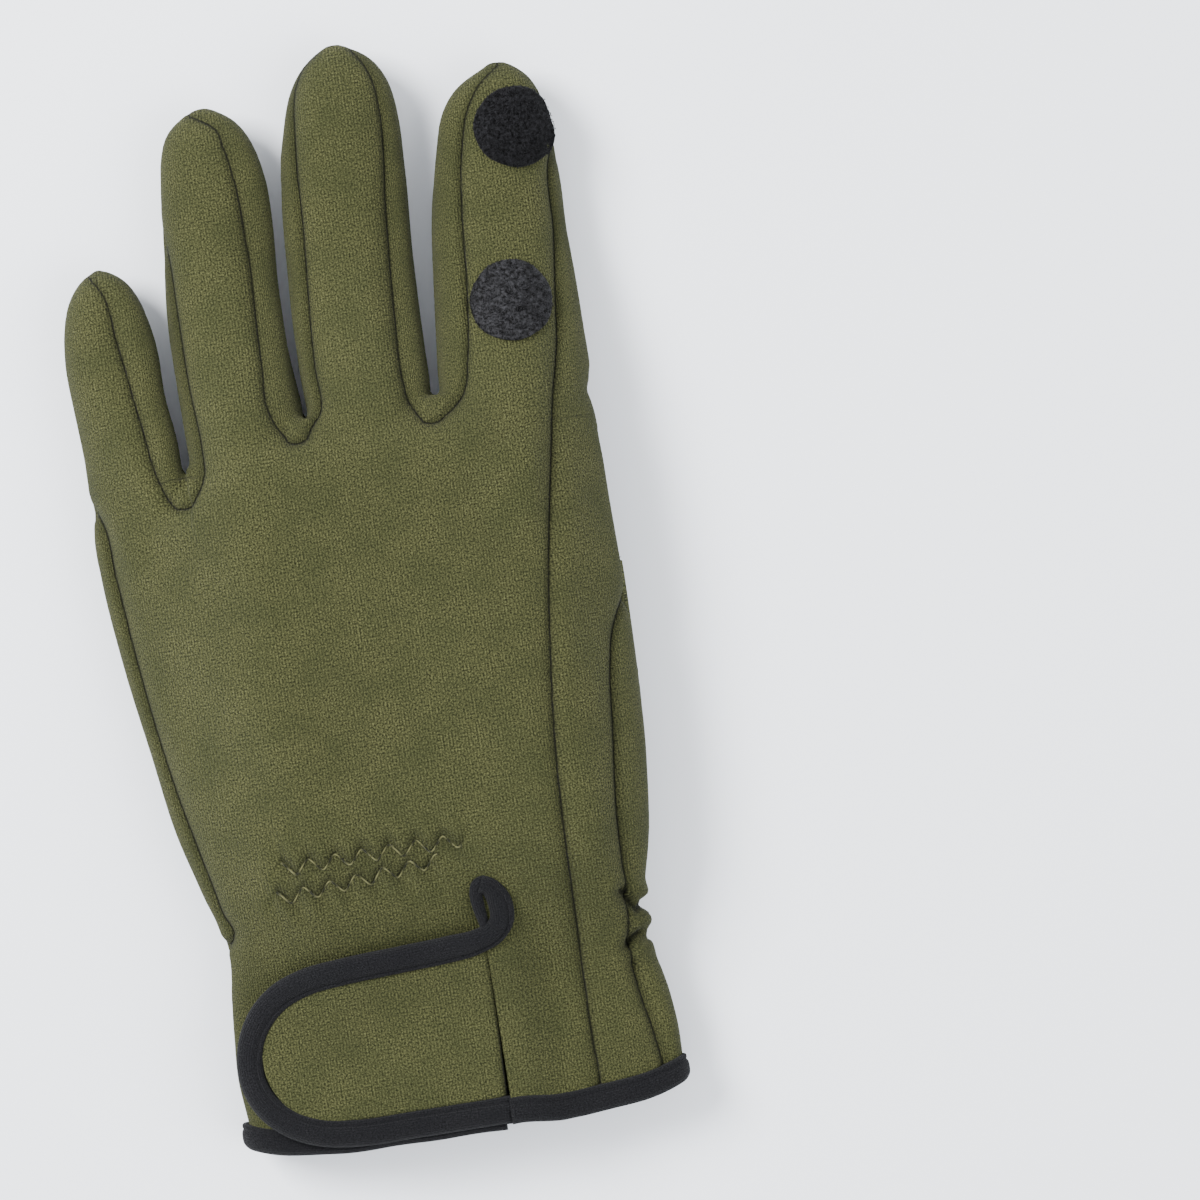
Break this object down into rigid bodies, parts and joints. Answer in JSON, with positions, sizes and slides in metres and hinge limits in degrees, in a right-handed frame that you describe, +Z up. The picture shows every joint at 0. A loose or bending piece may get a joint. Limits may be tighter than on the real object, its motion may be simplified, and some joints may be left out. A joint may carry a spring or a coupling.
{
  "type": "fishing glove",
  "caption": "Left-hand fishing glove in stretch cloth with a rubber grip palm, fold-back fingertips with round fasteners, bound cuff and wrist tab",
  "frame": {"origin": "middle of the underside: the centre of the bounding box in X and Y, at the floor that the glove lies on", "axes": "+Y from the cuff to the fingertips, +X to the thumb side, +Z up out of the back of the hand"},
  "size_m": [0.127, 0.2638, 0.0357],
  "materials": {
    "olive_cloth": "fine jersey knit over neoprene",
    "grip": "embossed rubber, rope weave pattern",
    "binding_tape": "ribbed knit tape",
    "loop_pile": "fuzzy loop pile",
    "hook_tape": "short stiff hooks"
  },
  "bodies": {
    "root": {"back_panel": "olive_cloth", "palm_grip": "grip", "index_cap_grip": "grip", "fourchette_little_ring": "olive_cloth", "fourchette_ring_middle": "olive_cloth", "fourchette_middle_index": "olive_cloth", "index_side_strip": "olive_cloth", "little_side_strip": "olive_cloth", "thumb_shell": "olive_cloth", "thumb_grip": "grip", "thumb_cap_grip": "grip", "cuff_tab": "olive_cloth", "tab_binding": "binding_tape", "cuff_binding": "binding_tape", "tab_fastener": "hook_tape", "index_tip_disc": "loop_pile", "index_lower_disc": "hook_tape", "thumb_tip_disc": "loop_pile", "thumb_lower_disc": "hook_tape"}
  },
  "joints": []
}
